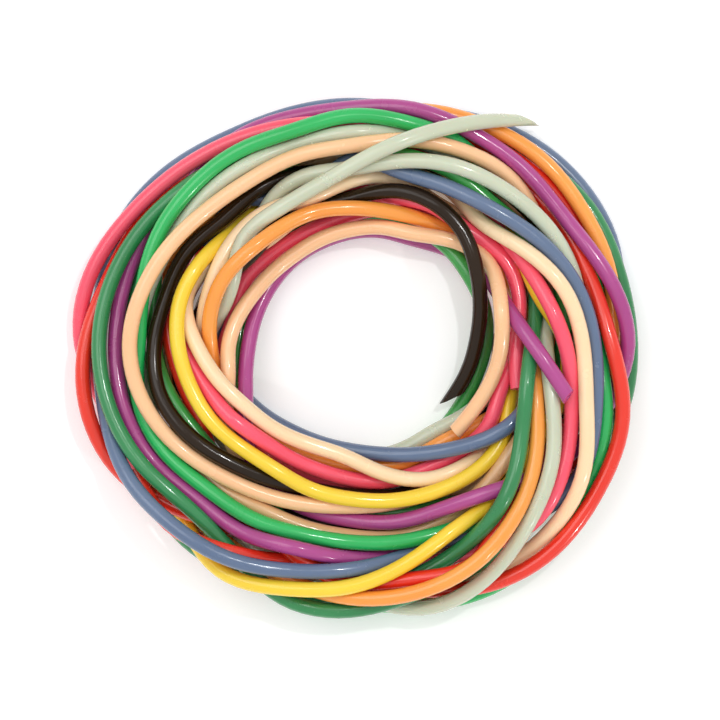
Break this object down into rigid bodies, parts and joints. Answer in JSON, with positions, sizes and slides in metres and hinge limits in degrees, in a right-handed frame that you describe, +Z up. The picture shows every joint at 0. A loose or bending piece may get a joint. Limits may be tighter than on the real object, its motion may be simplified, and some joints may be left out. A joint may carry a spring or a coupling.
{
  "type": "coil of plastic lacing cords",
  "caption": "Loose ring-shaped coil of thin hollow flexible plastic cords, wound over and under each other and laid flat, with bare cut ends.",
  "frame": {"origin": "middle of the coil's footprint, on the surface that the coil lies on", "axes": "+Z up, square to the surface; +X along the ring's longer width, towards the side with the purple cut end; +Y across it, towards the side where the clear cord's free end stands out"},
  "size_m": [0.0808, 0.0742, 0.0141],
  "materials": {
    "red_pvc": "gloss",
    "pink_pvc": "gloss",
    "purple_pvc": "gloss",
    "bright_green_pvc": "gloss",
    "dark_green_pvc": "gloss",
    "mid_green_pvc": "gloss",
    "blue_pvc": "gloss",
    "cream_pvc": "gloss",
    "peach_pvc": "gloss",
    "orange_pvc": "gloss",
    "yellow_pvc": "gloss",
    "clear_pvc": "clear gloss",
    "black_pvc": "gloss",
    "tan_pvc": "gloss"
  },
  "bodies": {
    "root": {"cord_red": "red_pvc", "cord_pink_inner": "pink_pvc", "cord_pink_outer": "pink_pvc", "cord_purple": "purple_pvc", "cord_green_bright": "bright_green_pvc", "cord_green_dark": "dark_green_pvc", "cord_green_inner": "mid_green_pvc", "cord_blue": "blue_pvc", "cord_cream": "cream_pvc", "cord_peach": "peach_pvc", "cord_orange": "orange_pvc", "cord_yellow": "yellow_pvc", "cord_clear_long": "clear_pvc", "cord_clear_short": "clear_pvc", "cord_black": "black_pvc", "cord_tan": "tan_pvc"}
  },
  "joints": []
}
